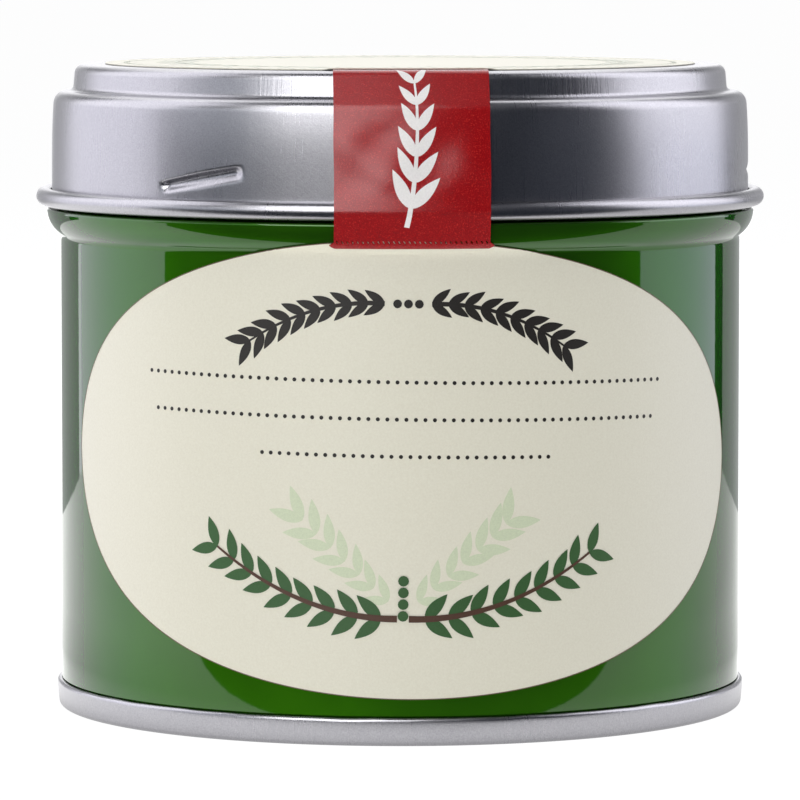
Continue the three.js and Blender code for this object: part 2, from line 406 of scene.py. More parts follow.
@dataclass(frozen=True)
class SatinTinplate:
    """Steel sheet with a flow-melted tin coat: a soft grey mirror, with fine grain and drawing lines."""

    name: str = "satin_tinplate"
    colour: str = "#AEADB1"
    dull: str = "#9B9A9F"
    smoothest: float = 0.25
    roughest: float = 0.33
    cloud: float = 9.0
    grain: float = 0.15  # real grain is finer, and would not show
    streak: tuple[float, float] = (0.16, 14.0)  # width and length of a drawing line
    scratch: tuple[float, float] = (0.08, 3.5)  # width and length of a handling scratch
    slant: float = 40.0
    riser: float = 65.9  # height above which the drawing lines are deeper
    riser_ease: float = 0.3
    riser_depth: float = 4.5  # how many times deeper

    def build(self) -> bpy.types.Material:
        """Makes the material."""
        material, tree, shader = shader_of(self.name, Metallic=1.0)
        spot = add(tree, "ShaderNodeTexCoord").outputs
        grain = add(tree, "ShaderNodeTexNoise", {
            "Vector": spot["Object"], "Scale": per_metre(self.grain), "Detail": 1.0, "Roughness": 0.6,
        })
        cloud = add(tree, "ShaderNodeTexNoise", {
            "Vector": spot["Object"], "Scale": per_metre(self.cloud), "Detail": 3.0,
        })
        drawn = add(tree, "ShaderNodeMapping", {
            "Vector": spot["UV"], "Scale": (*self.streak, 1),
        }, vector_type="TEXTURE")
        streak = add(tree, "ShaderNodeTexNoise", {"Vector": drawn.outputs[0], "Scale": 1.0, "Detail": 2.0})
        slanted = add(tree, "ShaderNodeMapping", {
            "Vector": spot["UV"], "Scale": (*self.scratch, 1),
            "Rotation": (0, 0, math.radians(self.slant - 90)),
        }, vector_type="TEXTURE")
        scratch = add(tree, "ShaderNodeTexNoise", {"Vector": slanted.outputs[0], "Scale": 1.0, "Detail": 1.0})
        tone = add(tree, "ShaderNodeValToRGB", {"Fac": grain.outputs[0]})
        for stop, position, colour in zip(tone.color_ramp.elements, (0.25, 0.75), (self.dull, self.colour)):
            stop.position = position
            stop.color = linear(colour)
        tree.links.new(tone.outputs[0], shader.inputs["Base Color"])
        uneven = add(tree, "ShaderNodeMath", {0: cloud.outputs[0], 1: streak.outputs[0]}, operation="ADD")
        rough = add(tree, "ShaderNodeMapRange", {
            "Value": uneven.outputs[0], "From Min": 0.6, "From Max": 1.4,
            "To Min": self.smoothest, "To Max": self.roughest,
        })
        tree.links.new(rough.outputs[0], shader.inputs["Roughness"])
        height = add(tree, "ShaderNodeSeparateXYZ", {0: spot["Object"]}).outputs["Z"]
        deeper = add(tree, "ShaderNodeMapRange", {
            "Value": height,
            "From Min": (self.riser - self.riser_ease) * MM, "From Max": (self.riser + self.riser_ease) * MM,
            "To Min": 1.0, "To Max": self.riser_depth,
        })
        furrow = add(tree, "ShaderNodeMath", {
            0: streak.outputs[0], 1: deeper.outputs[0],
        }, operation="MULTIPLY")
        normal = add(tree, "ShaderNodeBump", {"Height": grain.outputs[0], "Distance": 8e-6})
        for lines, depth in ((furrow, 3e-6), (scratch, 5e-6)):
            normal = add(tree, "ShaderNodeBump", {
                "Height": lines.outputs[0], "Distance": depth, "Normal": normal.outputs[0],
            })
        tree.links.new(normal.outputs[0], shader.inputs["Normal"])
        return material


@dataclass(frozen=True)
class StovedLacquer:
    """Green can lacquer, stoved on tinplate: deep colour with a trace of metal, under a hard gloss."""

    name: str = "stoved_green_lacquer"
    colour: str = "#2C6203"
    deep: str = "#255702"
    smoothest: float = 0.38
    roughest: float = 0.45
    gloss: float = 0.04  # roughness of the hard coat
    cloud: float = 6.0
    peel: float = 1.4

    def build(self) -> bpy.types.Material:
        """Makes the material."""
        material, tree, shader = shader_of(self.name, Metallic=0.75, Specular_IOR_Level=0.0, Coat_Weight=1.0)
        shader.inputs["Specular Tint"].default_value = linear(self.colour)
        shader.inputs["Coat Roughness"].default_value = self.gloss
        shader.inputs["Coat IOR"].default_value = 1.52
        spot = add(tree, "ShaderNodeTexCoord").outputs
        cloud = add(tree, "ShaderNodeTexNoise", {
            "Vector": spot["Object"], "Scale": per_metre(self.cloud), "Detail": 2.0,
        })
        tone = add(tree, "ShaderNodeValToRGB", {"Fac": cloud.outputs[0]})
        for stop, colour in zip(tone.color_ramp.elements, (self.deep, self.colour)):
            stop.color = linear(colour)
        tree.links.new(tone.outputs[0], shader.inputs["Base Color"])
        rough = add(tree, "ShaderNodeMapRange", {
            "Value": cloud.outputs[0], "To Min": self.smoothest, "To Max": self.roughest,
        })
        tree.links.new(rough.outputs[0], shader.inputs["Roughness"])
        peel = add(tree, "ShaderNodeTexNoise", {
            "Vector": spot["Object"], "Scale": per_metre(self.peel), "Detail": 1.0,
        })
        bump = add(tree, "ShaderNodeBump", {"Height": peel.outputs[0], "Distance": 2e-6})
        tree.links.new(bump.outputs[0], shader.inputs["Coat Normal"])
        return material


@dataclass(frozen=True)
class LabelPaper:
    """Uncoated cream label paper, machine-made: matt, with faint clouding and fibres."""

    name: str = "cream_label_paper"
    colour: str = "#E8E5D3"
    shade: str = "#E1DDCA"
    fibre: float = 0.22
    roughness: float = 0.42

    def build(self) -> bpy.types.Material:
        """Makes the material."""
        material, tree, shader = shader_of(self.name, Roughness=self.roughness, IOR=1.45)
        spot = add(tree, "ShaderNodeTexCoord")
        fibre = add(tree, "ShaderNodeTexNoise", {
            "Vector": spot.outputs["Object"], "Scale": per_metre(self.fibre), "Detail": 3.0, "Roughness": 0.7,
        })
        tone = add(tree, "ShaderNodeValToRGB", {"Fac": fibre.outputs[0]})
        for stop, position, colour in zip(tone.color_ramp.elements, (0.3, 0.7), (self.shade, self.colour)):
            stop.position = position
            stop.color = linear(colour)
        tree.links.new(tone.outputs[0], shader.inputs["Base Color"])
        bump = add(tree, "ShaderNodeBump", {"Height": fibre.outputs[0], "Distance": 2e-6})
        tree.links.new(bump.outputs[0], shader.inputs["Normal"])
        return material


@dataclass(frozen=True)
class MetallisedFilm:
    """Red-tinted metallised label film: a satin red with a fine grain that glitters where it catches light, and
    a painted glint colour on its brightest flakes.
    """

    name: str = "red_metallised_film"
    colour: str = "#9C0810"
    deep: str = "#860309"
    # painted glint: a brighter red that the highest flakes get under any lamp
    painted_glint: str = "#C42E26"
    flake: float = 0.14  # real flakes are finer, and would not show
    roughness: float = 0.22
    uneven: float = 0.12  # how far the roughness goes to either side
    depth: float = 2.4e-5

    def build(self) -> bpy.types.Material:
        """Makes the material."""
        material, tree, shader = shader_of(self.name, IOR=1.52)
        spot = add(tree, "ShaderNodeTexCoord")
        flake = add(tree, "ShaderNodeTexNoise", {
            "Vector": spot.outputs["Object"], "Scale": per_metre(self.flake), "Detail": 2.0, "Roughness": 0.6,
        })
        # the flakes run from deep red through the colour up to the painted glint
        tone = add(tree, "ShaderNodeValToRGB", {"Fac": flake.outputs[0]})
        tone.color_ramp.elements.new(0.6)
        for stop, position, colour in zip(
            tone.color_ramp.elements, (0.32, 0.56, 0.72), (self.deep, self.colour, self.painted_glint)
        ):
            stop.position = position
            stop.color = linear(colour)
        tree.links.new(tone.outputs[0], shader.inputs["Base Color"])
        rough = add(tree, "ShaderNodeMapRange", {
            "Value": flake.outputs[0],
            "To Min": self.roughness + self.uneven, "To Max": self.roughness - self.uneven,
        })
        tree.links.new(rough.outputs[0], shader.inputs["Roughness"])
        bump = add(tree, "ShaderNodeBump", {"Height": flake.outputs[0], "Distance": self.depth})
        tree.links.new(bump.outputs[0], shader.inputs["Normal"])
        return material


class Ink(Enum):
    """Printing inks of the labels and the strip, and the painted edge shade of the front label."""

    BLACK = "#1B1611"
    GREEN = "#2A5524"
    BROWN = "#4A2C1A"
    SAGE = "#C3CCAE"
    WHITE = "#DDDAD8"
    # painted shade along the oval label's cut edge, laid down like an ink
    EDGE = "#5E4A33"
    MIST = "#D6DACB"


@dataclass(frozen=True)
class PrintingInk:
    """Offset ink on paper: matt, slightly uneven where the paper's grain took less of it."""

    ink: Ink
    grain: float = 0.18

    def build(self) -> bpy.types.Material:
        """Makes the material."""
        material, tree, shader = shader_of(f"{self.ink.name.lower()}_offset_ink", Roughness=0.5, IOR=1.48)
        spot = add(tree, "ShaderNodeTexCoord")
        grain = add(tree, "ShaderNodeTexNoise", {
            "Vector": spot.outputs["Object"], "Scale": per_metre(self.grain), "Detail": 2.0,
        })
        tone = add(tree, "ShaderNodeValToRGB", {"Fac": grain.outputs[0]})
        full = linear(self.ink.value)
        tone.color_ramp.elements[0].color = full
        tone.color_ramp.elements[1].color = tuple(min(1.0, part * 1.25 + 0.01) for part in full[:3]) + (1.0,)
        tree.links.new(tone.outputs[0], shader.inputs["Base Color"])
        return material


@dataclass
class Palette:
    """The materials of the tin, each made once."""

    tinplate: bpy.types.Material = field(default_factory=lambda: SatinTinplate().build())
    lacquer: bpy.types.Material = field(default_factory=lambda: StovedLacquer().build())
    paper: bpy.types.Material = field(default_factory=lambda: LabelPaper().build())
    film: bpy.types.Material = field(default_factory=lambda: MetallisedFilm().build())
    core: bpy.types.Material = field(
        default_factory=lambda: LabelPaper(name="film_paper_core", colour="#E9D3CC", shade="#D8BDB5").build()
    )
    inks: dict[Ink, bpy.types.Material] = field(
        default_factory=lambda: {ink: PrintingInk(ink).build() for ink in Ink}
    )


class NodeModifier:
    """A Geometry Nodes tree with named inputs, and what it takes to apply it."""

    title = "Geometry"
    inputs: tuple[tuple[str, str], ...] = ()

    def __init__(self) -> None:
        """Makes the tree and its sockets, and builds its nodes."""
        self.tree = bpy.data.node_groups.new(self.title, "GeometryNodeTree")
        face = self.tree.interface
        self.sockets = {
            name: face.new_socket(name=name, in_out="INPUT", socket_type=f"NodeSocket{kind}").identifier
            for name, kind in self.inputs
        }
        face.new_socket(name="Geometry", in_out="OUTPUT", socket_type="NodeSocketGeometry")
        entry = add(self.tree, "NodeGroupInput")
        made = self.nodes(entry.outputs)
        realized = add(self.tree, "GeometryNodeRealizeInstances", {"Geometry": made})
        dressed = add(self.tree, "GeometryNodeSetMaterial", {
            "Geometry": realized.outputs[0], "Material": entry.outputs["Finish"],
        })
        add(self.tree, "NodeGroupOutput", {"Geometry": dressed.outputs[0]})

    def nodes(self, entry: Any) -> bpy.types.NodeSocket:
        """Builds the nodes between the tree's inputs and its realized output."""
        raise NotImplementedError

    def apply(self, piece: bpy.types.Object, values: dict[str, Any]) -> bpy.types.Object:
        """Runs the tree on an object.

        Args:
            piece: Object whose mesh goes in.
            values: Value of each named input.

        Returns:
            The same object, as a plain mesh.
        """
        modifier = piece.modifiers.new(self.title, "NODES")
        modifier.node_group = self.tree
        for name, value in values.items():
            modifier[self.sockets[name]] = value
        return plain(piece)


class PressedLugs(NodeModifier):
    """Presses slanted screw lugs into a turned sheet, evenly spaced round it."""

    title = "Pressed lugs"
    inputs = (
        ("Sheet", "Geometry"), ("Count", "Int"), ("First Angle", "Float"), ("Radius", "Float"),
        ("Height", "Float"), ("Half Length", "Float"), ("Half Width", "Float"), ("Tail Half Width", "Float"),
        ("End", "Float"), ("Crest", "Float"), ("Slope", "Float"), ("Depth", "Float"), ("Finish", "Material"),
    )

    def nodes(self, entry: Any) -> bpy.types.NodeSocket:
        """Moves each point in or out by where it lies across and along the nearest lug."""
        tree = self.tree
        spot = add(tree, "GeometryNodeInputPosition").outputs[0]
        x, y, z = add(tree, "ShaderNodeSeparateXYZ", {0: spot}).outputs
        front = add(tree, "ShaderNodeMath", {0: y, 1: -1.0}, operation="MULTIPLY").outputs[0]
        angle = add(tree, "ShaderNodeMath", {0: x, 1: front}, operation="ARCTAN2").outputs[0]
        first, long = entry["First Angle"], entry["Half Length"]
        since = add(tree, "ShaderNodeMath", {0: angle, 1: first}, operation="SUBTRACT").outputs[0]
        ahead = add(tree, "ShaderNodeMath", {0: math.pi, 1: entry["Count"]}, operation="DIVIDE").outputs[0]
        behind = add(tree, "ShaderNodeMath", {0: ahead, 1: -1.0}, operation="MULTIPLY").outputs[0]
        near = add(tree, "ShaderNodeMath", {0: since, 1: ahead, 2: behind}, operation="WRAP").outputs[0]
        round_it = add(tree, "ShaderNodeMath", {0: near, 1: entry["Radius"]}, operation="MULTIPLY").outputs[0]
        up = add(tree, "ShaderNodeMath", {0: z, 1: entry["Height"]}, operation="SUBTRACT").outputs[0]
        level = add(tree, "ShaderNodeCombineXYZ", {"X": round_it, "Y": up}).outputs[0]
        slanted = add(tree, "ShaderNodeVectorRotate", {
            "Vector": level, "Angle": entry["Slope"],
        }, rotation_type="Z_AXIS", invert=True).outputs[0]
        along, across, _ = add(tree, "ShaderNodeSeparateXYZ", {0: slanted}).outputs
        tail = add(tree, "ShaderNodeMath", {0: long, 1: -1.0}, operation="MULTIPLY").outputs[0]
        half = add(tree, "ShaderNodeMapRange", {
            "Value": along, "From Min": tail, "From Max": 0.0,
            "To Min": entry["Tail Half Width"], "To Max": entry["Half Width"],
        }).outputs[0]
        share = add(tree, "ShaderNodeMath", {0: across, 1: half}, operation="DIVIDE").outputs[0]
        floor = add(tree, "ShaderNodeMapRange", {
            "Value": share, "From Min": -1.0, "From Max": entry["Crest"],
        }, interpolation_type="SMOOTHERSTEP").outputs[0]
        wall = add(tree, "ShaderNodeMapRange", {
            "Value": share, "From Min": 1.0, "From Max": entry["Crest"],
        }, interpolation_type="SMOOTHSTEP").outputs[0]
        inside = add(tree, "ShaderNodeMath", {0: long, 1: entry["End"]}, operation="SUBTRACT").outputs[0]
        out = add(tree, "ShaderNodeMath", {0: along}, operation="ABSOLUTE").outputs[0]
        ends = add(tree, "ShaderNodeMapRange", {
            "Value": out, "From Min": long, "From Max": inside,
        }, interpolation_type="SMOOTHSTEP").outputs[0]
        move = add(tree, "ShaderNodeCombineXYZ", {"X": x, "Y": y}).outputs[0]
        move = add(tree, "ShaderNodeVectorMath", {0: move}, operation="NORMALIZE").outputs[0]
        for factor in (floor, wall, ends, entry["Depth"]):
            move = add(tree, "ShaderNodeVectorMath", {0: move, "Scale": factor}, operation="SCALE").outputs[0]
        return add(tree, "GeometryNodeSetPosition", {"Geometry": entry["Sheet"], "Offset": move}).outputs[0]


class RowAlongPath(NodeModifier):
    """Sets copies of a motif along a path, one or a pair at each step, changing in size towards its end."""

    title = "Row along a path"
    inputs = (
        ("Path", "Geometry"), ("Motif", "Object"), ("Count", "Int"), ("Spread", "Float"), ("Jitter", "Float"),
        ("First Scale", "Float"), ("Last Scale", "Float"), ("Pair", "Bool"), ("Seed", "Int"),
        ("Finish", "Material"),
    )

    def nodes(self, entry: Any) -> bpy.types.NodeSocket:
        """Instances the motif on points of the path, turned to its heading."""
        tree = self.tree
        curve = add(tree, "GeometryNodeMeshToCurve", {"Mesh": entry["Path"]}).outputs[0]
        points = add(tree, "GeometryNodeCurveToPoints", {
            "Curve": curve, "Count": entry["Count"],
        }, mode="COUNT")
        way = add(tree, "ShaderNodeSeparateXYZ", {0: points.outputs["Tangent"]}).outputs
        heading = add(tree, "ShaderNodeMath", {0: way["Y"], 1: way["X"]}, operation="ARCTAN2").outputs[0]
        index = add(tree, "GeometryNodeInputIndex").outputs[0]
        last = add(tree, "ShaderNodeMath", {0: entry["Count"], 1: 1.0}, operation="SUBTRACT").outputs[0]
        scale = add(tree, "ShaderNodeMapRange", {
            "Value": index, "From Max": last, "To Min": entry["First Scale"], "To Max": entry["Last Scale"],
        }).outputs[0]
        motif = add(tree, "GeometryNodeObjectInfo", {"Object": entry["Motif"]}).outputs["Geometry"]
        least = add(tree, "ShaderNodeMath", {0: entry["Jitter"], 1: -1.0}, operation="MULTIPLY").outputs[0]
        rows = add(tree, "GeometryNodeJoinGeometry")
        for side, operation in enumerate(("ADD", "SUBTRACT")):
            seed = add(tree, "ShaderNodeMath", {0: entry["Seed"], 1: float(side)}, operation="ADD").outputs[0]
            chance = add(tree, "FunctionNodeRandomValue", {
                2: least, 3: entry["Jitter"], "Seed": seed,
            }, data_type="FLOAT").outputs[1]
            swing = add(tree, "ShaderNodeMath", {0: heading, 1: chance}, operation="ADD").outputs[0]
            turn = add(tree, "ShaderNodeMath", {0: swing, 1: entry["Spread"]}, operation=operation).outputs[0]
            copies = add(tree, "GeometryNodeInstanceOnPoints", {
                "Points": points.outputs["Points"], "Instance": motif, "Scale": scale,
                "Rotation": add(tree, "ShaderNodeCombineXYZ", {"Z": turn}).outputs[0],
            })
            if side:
                tree.links.new(entry["Pair"], copies.inputs["Selection"])
            tree.links.new(copies.outputs[0], rows.inputs[0])
        return rows.outputs[0]

    def lay(
        self,
        name: str,
        path: np.ndarray,
        motif: bpy.types.Object,
        finish: bpy.types.Material,
        **values: Any,
    ) -> bpy.types.Object:
        """Lays a row and removes the motif.

        Args:
            name: Name of the new object.
            path: Points of the path in the flat drawing, in millimetres.
            motif: Object that is repeated, at the origin and pointing along +X.
            finish: Material of the copies.
            values: The tree's other inputs, with underscores for spaces.

        Returns:
            The row as a plain mesh.
        """
        mesh = bpy.data.meshes.new(name)
        steps = [(i, i + 1) for i in range(len(path) - 1)]
        mesh.from_pydata([(x * MM, y * MM, 0.0) for x, y in path], steps, [])
        row = bpy.data.objects.new(name, mesh)
        bpy.context.scene.collection.objects.link(row)
        usual = {
            "Spread": 0.0, "Jitter": 0.0, "First Scale": 1.0, "Last Scale": 1.0, "Pair": False, "Seed": 0,
        }
        given = {key.replace("_", " "): value for key, value in values.items()}
        self.apply(row, usual | given | {"Motif": motif, "Finish": finish})
        bpy.data.objects.remove(motif)
        row.data.shade_flat()
        return row


@dataclass(frozen=True)
class Drawing:
    """Printed ornament: leaves, dots and stems, drawn flat and then laid on a label or the strip."""

    rows: RowAlongPath
    palette: Palette
    place: Place
    lift: float
    slot: str
    bends: np.ndarray | None = None
    ink: float = 0.012  # thickness of a printed layer

    def leaf(self, length: float, width: float) -> bpy.types.Object:
        """Makes one pointed leaf, with its stalk at the origin."""
        t = np.linspace(0, 1, 11)[:, None]
        half = width / 2 * np.sin(math.pi * t**0.8) ** 0.9
        side = np.array([[-1.0, 0.0, 1.0]])
        return slab("leaf", flat(t * length, half * side, self.ink), flat(t * length, half * side, 0.0))

    def dot(self, across: float) -> bpy.types.Object:
        """Makes one round dot."""
        return oval("dot", flat, (across / 2, across / 2), 0.0, self.ink, 1, 12)

    def finish(self, piece: bpy.types.Object, ink: Ink, above: int = 0) -> None:
        """Lays a drawing on its surface, one layer of ink higher for each drawing below it."""
        drape(piece, self.place, self.lift + above * 2 * self.ink, self.bends)
        settle(piece, self.slot, [self.palette.inks[ink]])

    def spray(
        self,
        name: str,
        path: np.ndarray,
        ink: Ink,
        size: tuple[float, float],
        count: int,
        above: int = 0,
        **values: Any,
    ) -> None:
        """Prints leaves along a path.

        Args:
            name: Name of the piece.
            path: Points of the stem.
            ink: Colour of the leaves.
            size: Length and width of a leaf.
            count: Leaves, or pairs of leaves.
            above: Layers of ink underneath.
            values: Other inputs of the row's tree.
        """
        row = self.rows.lay(name, path, self.leaf(*size), self.palette.inks[ink], Count=count, **values)
        self.finish(row, ink, above)

    def dots(self, name: str, path: np.ndarray, ink: Ink, across: float, count: int, above: int = 0) -> None:
        """Prints a row of dots along a path."""
        row = self.rows.lay(name, path, self.dot(across), self.palette.inks[ink], Count=count)
        self.finish(row, ink, above)

    def stem(
        self, name: str, path: np.ndarray, ink: Ink, widths: tuple[float, float], above: int = 0
    ) -> None:
        """Prints a tapering line.

        Args:
            name: Name of the piece.
            path: Points of the line.
            ink: Its colour.
            widths: Its width at the start and at the end.
            above: Layers of ink underneath.
        """
        half = np.linspace(widths[0], widths[1], len(path)) / 2
        way = np.gradient(path, axis=0)
        left = np.column_stack((-way[:, 1], way[:, 0])) / np.linalg.norm(way, axis=1)[:, None]
        sides = np.stack([path + left * half[:, None] * side for side in (-1, 1)], axis=1)
        front, back = (flat(sides[..., 0], sides[..., 1], height) for height in (self.ink, 0.0))
        ring = np.allclose(path[0], path[-1])
        self.finish(slab(name, front, back, 0, "left right" if ring else "foot head left right"), ink, above)


def bent(start: Spot, middle: Spot, stop: Spot, count: int = 24) -> np.ndarray:
    """Points of a smooth bend from start to stop, pulled towards middle."""
    t = np.linspace(0, 1, count)[:, None]
    a, b, c = (np.array(point) for point in (start, middle, stop))
    return (1 - t) ** 2 * a + 2 * t * (1 - t) * b + t**2 * c


@dataclass(frozen=True)
class Stock:
    """Thicknesses of the sheet, paper and glue that the tin is made from."""

    sheet: float = 0.22
    paper: float = 0.1
    print_gap: float = 0.006  # between a sheet and its print
    glue: float = 0.05

    @property
    def layer(self) -> float:
        """One glued layer of paper or film."""
        return self.glue + self.paper

    def outline(self, middle: Line) -> Line:
        """Closed outline of a sheet of tinplate.

        Args:
            middle: Line that the middle of the sheet follows. It may start on the axis.

        Returns:
            The outside, from start to end, and the inside back again.
        """
        outside = offset(middle, self.sheet / 2)
        inside = offset(middle, -self.sheet / 2)[::-1]
        if middle[0, 0] == 0:
            outside[0, 0] = inside[-1, 0] = 0.0
            return np.vstack((outside, inside))
        return np.vstack((outside, inside, outside[:1]))


@dataclass(frozen=True)
class Lugs:
    """Screw lugs of the lid, and the ridges of the neck that they run under."""

    count: int = 3
    angle: float = -35.2
    height: float = 57.57
    length: float = 10.8
    width: float = 2.0
    tail: float = 1.5  # width at the low end
    end: float = 1.2
    crest: float = 0.25  # where across its width it is deepest
    depth: float = 0.48
    slope: float = 9.7
    ridge_above: float = 2.4
    ridge_depth: float = 0.5

    def meridians(self, coarse: float, fine: float, reach: float = 11.0) -> np.ndarray:
        """Angles for a turned mesh, closer together at the lugs.

        Args:
            coarse: Step between lugs, in degrees.
            fine: Step at a lug.
            reach: Half the width of a lug's zone.

        Returns:
            Rising angles in radians.
        """
        share = 360 / self.count
        zone = np.arange(-reach, reach, fine)
        gap = np.linspace(reach, share - reach, round((share - 2 * reach) / coarse), endpoint=False)
        one = np.concatenate((zone, gap)) + self.angle
        return np.radians(np.concatenate([one + share * i for i in range(self.count)]))

    def press(
        self,
        tree: PressedLugs,
        sheet: bpy.types.Object,
        radius: float,
        finish: bpy.types.Material,
        ridge: bool,
    ) -> None:
        """Presses the lugs into a lid, or the ridges out of a neck.

        Args:
            tree: Tree that does the pressing.
            sheet: The turned piece.
            radius: Distance of its skin from the axis.
            finish: Material of the piece.
            ridge: True for the neck's ridges.
        """
        skins = np.zeros(len(sheet.data.polygons), dtype=np.int32)
        sheet.data.polygons.foreach_get("material_index", skins)
        tree.apply(sheet, {
            "Count": self.count, "First Angle": math.radians(self.angle), "Radius": radius * MM,
            "Height": (self.height + (self.ridge_above if ridge else 0.0)) * MM,
            "Half Length": self.length / 2 * MM, "Half Width": self.width / 2 * MM,
            "Tail Half Width": self.tail / 2 * MM, "End": self.end * MM, "Crest": self.crest,
            "Slope": math.radians(self.slope), "Depth": (self.ridge_depth if ridge else -self.depth) * MM,
            "Finish": finish,
        })
        sheet.data.polygons.foreach_set("material_index", skins)


@dataclass
class TinBody:
    """Body: hook inside the bottom seam, wall, bead under the lid, neck with thread ridges, rolled rim."""

    stock: Stock
    lugs: Lugs
    wall_radius: float = 36.5
    foot_z: float = 3.14
    hook: tuple[float, float] = (36.55, 2.37)  # middle of the hook, and its top
    in_seam: tuple[float, float] = (35.99, 2.68)
    fold_z: float = 0.75
    bead: tuple[float, float, float] = (34.4, 53.4, 3.58)  # centre and radius of the bead's outside
    bead_foot: float = 0.8
    bead_crown: float = 0.35
    bead_top: float = 53.55
    neck_radius: float = 36.35
    neck_foot: float = 0.4
    rim_top: float = 65.3
    rim_roll: float = 0.55
    seam_step: float = 0.1  # ridge of the welded side seam, at the back
    seam_width: float = 1.1
    seam_blend: float = 0.3
    ridge_reach: float = 2.2  # the mesh is finer this far above and below a thread ridge

    def wall_line(self) -> Line:
        """Outside of the wall from the bottom seam to the bead's widest point."""
        r, z, radius = self.bead
        reach = radius + self.bead_foot
        meet = math.degrees(math.acos((self.wall_radius + self.bead_foot - r) / reach))
        foot = z - reach * math.sin(math.radians(meet))
        return np.vstack((
            [(self.wall_radius, z) for z in (self.foot_z, self.foot_z + 0.3, foot - 0.6)],
            arc(self.wall_radius + self.bead_foot, foot, self.bead_foot, 180, 180 - meet),
            arc(r, z, radius, -meet, -4, 4)[1:],
        ))

    def radius_at(self, z: np.ndarray) -> np.ndarray:
        """Distance of the wall's outside from the axis at heights below the bead's top."""
        line = self.wall_line()
        return np.interp(z, line[:, 1], line[:, 0])

    def build(self, tree: PressedLugs, palette: Palette) -> None:
        """Makes the body.

        Args:
            tree: Tree that presses the neck's ridges.
            palette: Materials.
        """
        widest = self.bead[0] + self.bead[2]
        fold = (self.in_seam[0] + self.hook[0]) / 2
        neck, foot = self.neck_radius, self.neck_foot
        outside = np.vstack((
            self.wall_line(),
            arc(widest - self.bead_crown, self.bead_top - self.bead_crown, self.bead_crown, 0, 90, 15),
            arc(neck + foot, self.bead_top + foot, foot, 270, 180, 15),
            arc(neck - self.rim_roll, self.rim_top - self.rim_roll, self.rim_roll, 0, 240, 15),
        ))
        ridge, reach = self.lugs.height + self.lugs.ridge_above, self.ridge_reach
        middle = np.vstack((
            self.hook,
            arc(fold, self.fold_z, self.hook[0] - fold, 0, -180, 20),
            self.in_seam,
            offset(graded(outside, ridge - reach, ridge + reach, 0.25), self.stock.sheet / 2),
        ))
        back = np.radians(np.arange(178.6, 181.4, 0.1))
        angles = np.unique(np.concatenate((self.lugs.meridians(1.5, 0.8), back)).round(6))
        piece = turned("tin_body", self.stock.outline(middle), angles, np.repeat((1, 0), len(middle)))
        self.lugs.press(tree, piece, self.neck_radius, palette.lacquer, True)
        self.weld(piece)
        settle(piece, "green_lacquer", [palette.lacquer, palette.tinplate], "body_wall")

    def weld(self, piece: bpy.types.Object) -> None:
        """Raises the narrow overlap of the welded side seam at the back of the wall."""
        points = np.empty(len(piece.data.vertices) * 3)
        piece.data.vertices.foreach_get("co", points)
        xyz = points.reshape(-1, 3)
        r = np.hypot(xyz[:, 0], xyz[:, 1])
        aside = np.abs(xyz[:, 0]) / MM
        shown = (xyz[:, 1] > 0) & (xyz[:, 2] > self.foot_z * MM)
        inside = self.seam_width / 2 + self.seam_blend / 2 - aside
        rise = np.where(shown, self.seam_step * smooth(inside / self.seam_blend), 0.0) * MM
        xyz[:, :2] *= ((r + rise) / r)[:, None]
        piece.data.vertices.foreach_set("co", xyz.ravel())
        piece.data.update()


@dataclass
class BottomEnd:
    """Bottom: recessed panel with a groove, wall of the recess, and the outer fold of the double seam."""

    stock: Stock
    seam_radius: float = 36.94
    seam_height: float = 2.92
    pitch: float = 0.28
    corner: float = 0.42
    taper: float = 0.14  # the seam's face leans in towards the foot
    taper_power: float = 1.7
    hook_foot: float = 1.0
    recess: float = 3.61
    rise: float = 0.7
    groove: float = 2.5
    slope: float = 0.8
    bend: float = 0.8
    tight: float = 0.3  # radius of the sharper bends
    waver: float = 0.035  # unevenness of the seam's top edge
    waver_from: tuple[float, float] = (36.3, 1.2)  # distance from the axis and height beyond which it shows
    waver_ease: float = 1.6

    def build(self, palette: Palette) -> None:
        """Makes the bottom."""
        half = self.stock.sheet / 2
        outer = self.seam_radius - half
        inner = outer - 4 * self.pitch
        hook = outer - 2 * self.pitch
        fold = (outer + hook) / 2
        panel = self.recess + half
        top = self.seam_height - half - (outer - fold)
        face_z = np.linspace(half + self.corner, top, 9)[1:-1]
        lean = self.taper * (1 - np.linspace(0, 1, 9)[1:-1]) ** self.taper_power
        groove, tight = inner - self.groove, self.tight
        middle = np.vstack((
            (0.0, panel),
            (groove - self.slope - tight, panel),
            arc(groove - self.slope - tight, panel + tight, tight, 270, 315, 15)[1:],
            arc(groove, panel + self.rise - tight, tight, 135, 90, 15),
            arc(inner - self.bend, panel + self.rise - self.bend, self.bend, 90, 0, 10),
            arc(inner + tight, half + tight, tight, 180, 270, 15),
            arc(outer - self.taper - self.corner, half + self.corner, self.corner, 270, 360, 10),
            np.column_stack((outer - lean, face_z)),
            arc(fold, top, outer - fold, 0, 180, 12),
            (hook, self.hook_foot),
        ))
        piece = turned("tin_bottom", self.stock.outline(middle), np.radians(np.arange(0, 360, 1.25)))
        self.waver_edge(piece)
        settle(piece, "tinplate", [palette.tinplate], "bottom_end")

    def waver_edge(self, piece: bpy.types.Object) -> None:
        """Lifts and lowers the seam's top edge a little, as a seaming roll leaves it."""
        points = np.empty(len(piece.data.vertices) * 3)
        piece.data.vertices.foreach_get("co", points)
        xyz = points.reshape(-1, 3)
        angle = np.arctan2(xyz[:, 0], -xyz[:, 1])
        far, foot = self.waver_from
        near = (np.hypot(xyz[:, 0], xyz[:, 1]) > far * MM) & (xyz[:, 2] > foot * MM)
        share = smooth((xyz[:, 2] / MM - foot) / self.waver_ease) * near
        xyz[:, 2] += share * self.waver * MM * (ripple(angle, (17, 29, 43), 0.7) - 0.4)
        piece.data.vertices.foreach_set("co", xyz.ravel())
        piece.data.update()


